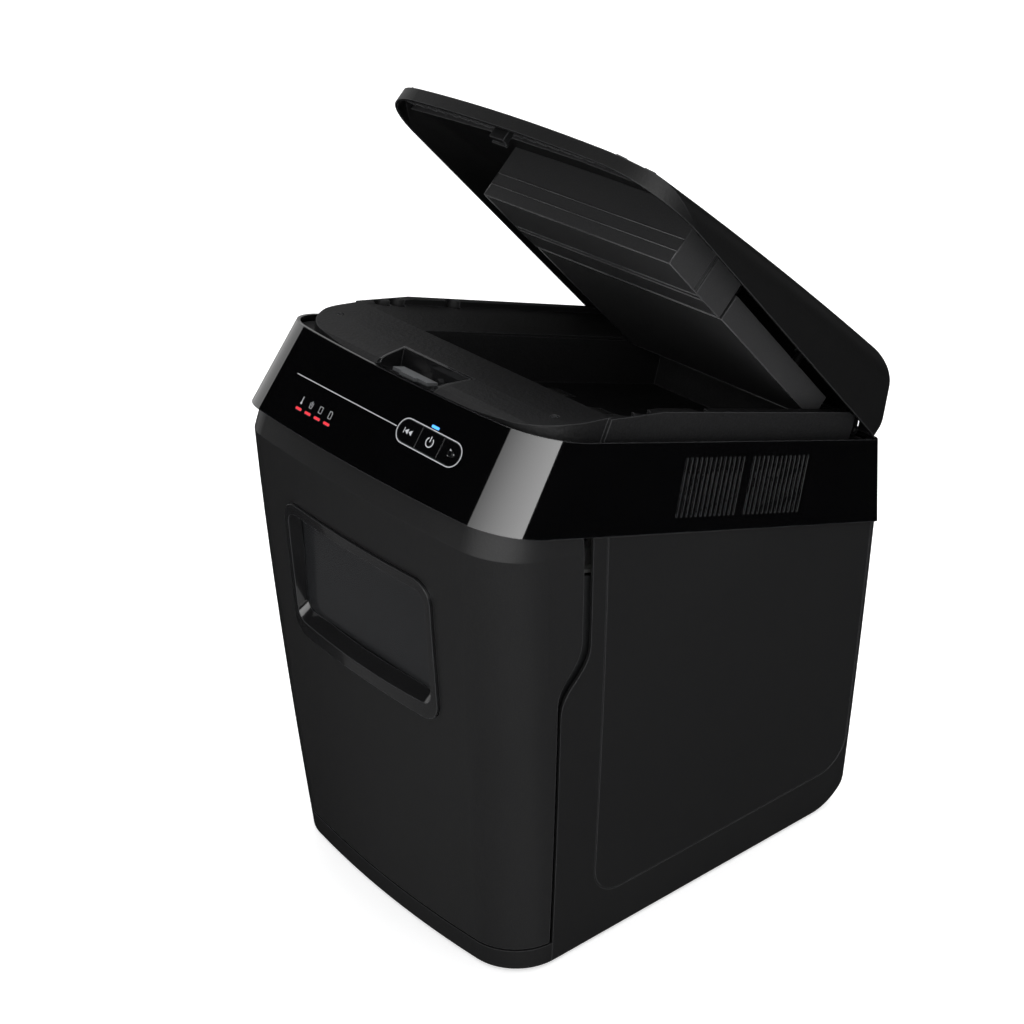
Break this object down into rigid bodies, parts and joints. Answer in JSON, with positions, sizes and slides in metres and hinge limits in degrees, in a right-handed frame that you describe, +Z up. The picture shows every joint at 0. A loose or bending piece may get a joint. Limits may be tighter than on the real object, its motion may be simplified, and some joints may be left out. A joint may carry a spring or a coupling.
{
  "type": "paper shredder",
  "caption": "Free-standing office shredder with a pull-out bin, sloping control head, paper tray and hinged lid.",
  "frame": {"origin": "on the floor under the middle of the body", "axes": "+Z up, +X to the user's right, front facing -Y; the lid stands open by 30 degrees at rest"},
  "size_m": [0.387, 0.4801, 0.7402],
  "materials": {
    "satin_black": "satin, fine spark texture",
    "piano_black": "high gloss",
    "deck_charcoal": "fine grain texture",
    "dark_bin": "moulded satin",
    "smoked_pane": "clear smoked, glossy",
    "grey_plastic": "satin",
    "red_lens": "translucent lens",
    "blue_lens": "translucent lens",
    "key_black": "high gloss",
    "steel": "ground",
    "tool_steel": "hardened, oiled",
    "zinc": "zinc plated sheet",
    "bronze": "sintered bronze",
    "acetal": "natural acetal",
    "rubber": "matte",
    "circuit_green": "solder mask"
  },
  "bodies": {
    "cabinet": {"head_band": "piano_black", "warning_lenses": "red_lens", "power_lens": "blue_lens", "control_board": "circuit_green", "left_side": "satin_black", "right_side": "satin_black", "rear_panel": "satin_black", "base_tray": "satin_black", "feet": "rubber", "bin_rails": "acetal", "deck": "deck_charcoal", "latch_tray": "piano_black", "catch_spring": "steel", "deck_screws": "steel", "hinge_pins": "steel", "rear_comb": "acetal", "front_comb": "acetal", "left_plate": "zinc", "right_plate": "zinc", "shaft_bushes": "bronze", "tie_rods": "steel", "mech_frame": "zinc", "gear_axles": "steel", "gearbox_plate": "zinc", "motor": "zinc", "feed_belt": "rubber", "power_board": "circuit_green", "power_inlet": "dark_bin", "rocker_frame": "dark_bin", "bin_switch": "dark_bin"},
    "bin": {"bin_front": "satin_black", "window_bezel": "piano_black", "window_pane": "smoked_pane", "bin_tub": "dark_bin"},
    "lid": {"lid_shell": "satin_black", "feed_chute": "satin_black", "presser_springs": "steel"},
    "presser": {"presser_plate": "satin_black"},
    "catch": {"lid_catch": "grey_plastic"},
    "reverse_button": {"reverse_key": "key_black"},
    "power_button": {"power_key": "key_black"},
    "forward_button": {"forward_key": "key_black"},
    "rear_cylinder": {"rear_cutter": "tool_steel", "rear_sync_gear": "steel", "main_gear": "steel", "drive_pulley": "acetal"},
    "front_cylinder": {"front_cutter": "tool_steel", "front_sync_gear": "steel"},
    "gear_two": {"second_gear": "acetal"},
    "gear_one": {"first_gear": "acetal"},
    "motor_rotor": {"motor_shaft": "steel", "cooling_fan": "acetal"},
    "front_roller": {"front_feed_roller": "acetal", "front_roller_tyres": "rubber"},
    "rear_roller": {"rear_feed_roller": "acetal", "rear_roller_tyres": "rubber"},
    "rocker": {"power_rocker": "dark_bin"}
  },
  "joints": [
    {"name": "bin_slide", "type": "slide", "parent": "cabinet", "child": "bin", "axis": [0, -1, 0], "range_m": [0, 0.36]},
    {"name": "lid_hinge", "type": "hinge", "parent": "cabinet", "child": "lid", "pos_m": [0, 0.22684, 0.41678], "axis": [-1, 0, 0], "range_deg": [-30, 0]},
    {"name": "presser_slide", "type": "slide", "parent": "lid", "child": "presser", "axis": [0, 0.7294, 0.684], "range_m": [0, 0.015], "stiffness_N_per_m": 300, "springref_m": -0.02},
    {"name": "catch_slide", "type": "slide", "parent": "cabinet", "child": "catch", "axis": [0, 0.9571, -0.2897], "range_m": [0, 0.004], "stiffness_N_per_m": 500, "springref_m": -0.002},
    {"name": "reverse_press", "type": "slide", "parent": "cabinet", "child": "reverse_button", "axis": [0, 0.7998, -0.6003], "range_m": [0, 0.0008], "stiffness_N_per_m": 600, "springref_m": -0.0005},
    {"name": "power_press", "type": "slide", "parent": "cabinet", "child": "power_button", "axis": [0, 0.7998, -0.6003], "range_m": [0, 0.0008], "stiffness_N_per_m": 600, "springref_m": -0.0005},
    {"name": "forward_press", "type": "slide", "parent": "cabinet", "child": "forward_button", "axis": [0, 0.7998, -0.6003], "range_m": [0, 0.0008], "stiffness_N_per_m": 600, "springref_m": -0.0005},
    {"name": "rear_cylinder_spin", "type": "hinge", "parent": "cabinet", "child": "rear_cylinder", "pos_m": [0, -0.04002, 0.43434], "axis": [1, 0, 0], "continuous": true},
    {"name": "front_cylinder_spin", "type": "hinge", "parent": "cabinet", "child": "front_cylinder", "pos_m": [0, -0.0783, 0.44593], "axis": [1, 0, 0], "continuous": true},
    {"name": "gear_two_spin", "type": "hinge", "parent": "cabinet", "child": "gear_two", "pos_m": [0, 0.00187, 0.40704], "axis": [1, 0, 0], "continuous": true},
    {"name": "gear_one_spin", "type": "hinge", "parent": "cabinet", "child": "gear_one", "pos_m": [0, 0.04067, 0.41097], "axis": [1, 0, 0], "continuous": true},
    {"name": "motor_spin", "type": "hinge", "parent": "cabinet", "child": "motor_rotor", "pos_m": [0, 0.05843, 0.38678], "axis": [1, 0, 0], "continuous": true},
    {"name": "front_roller_spin", "type": "hinge", "parent": "cabinet", "child": "front_roller", "pos_m": [0, -0.00116, 0.44191], "axis": [1, 0, 0], "continuous": true},
    {"name": "rear_roller_spin", "type": "hinge", "parent": "cabinet", "child": "rear_roller", "pos_m": [0, 0.03521, 0.4309], "axis": [1, 0, 0], "continuous": true},
    {"name": "rocker_tip", "type": "hinge", "parent": "cabinet", "child": "rocker", "pos_m": [0.148, 0.229, 0.372], "axis": [1, 0, 0], "range_deg": [0, 16]}
  ],
  "couplings": [
    {"joint": "front_cylinder_spin", "follows": "rear_cylinder_spin", "ratio": -1},
    {"joint": "gear_two_spin", "follows": "rear_cylinder_spin", "ratio": -3.1667},
    {"joint": "gear_one_spin", "follows": "rear_cylinder_spin", "ratio": 10.556},
    {"joint": "motor_spin", "follows": "rear_cylinder_spin", "ratio": -42.222},
    {"joint": "front_roller_spin", "follows": "rear_cylinder_spin", "ratio": 1},
    {"joint": "rear_roller_spin", "follows": "rear_cylinder_spin", "ratio": 1}
  ]
}
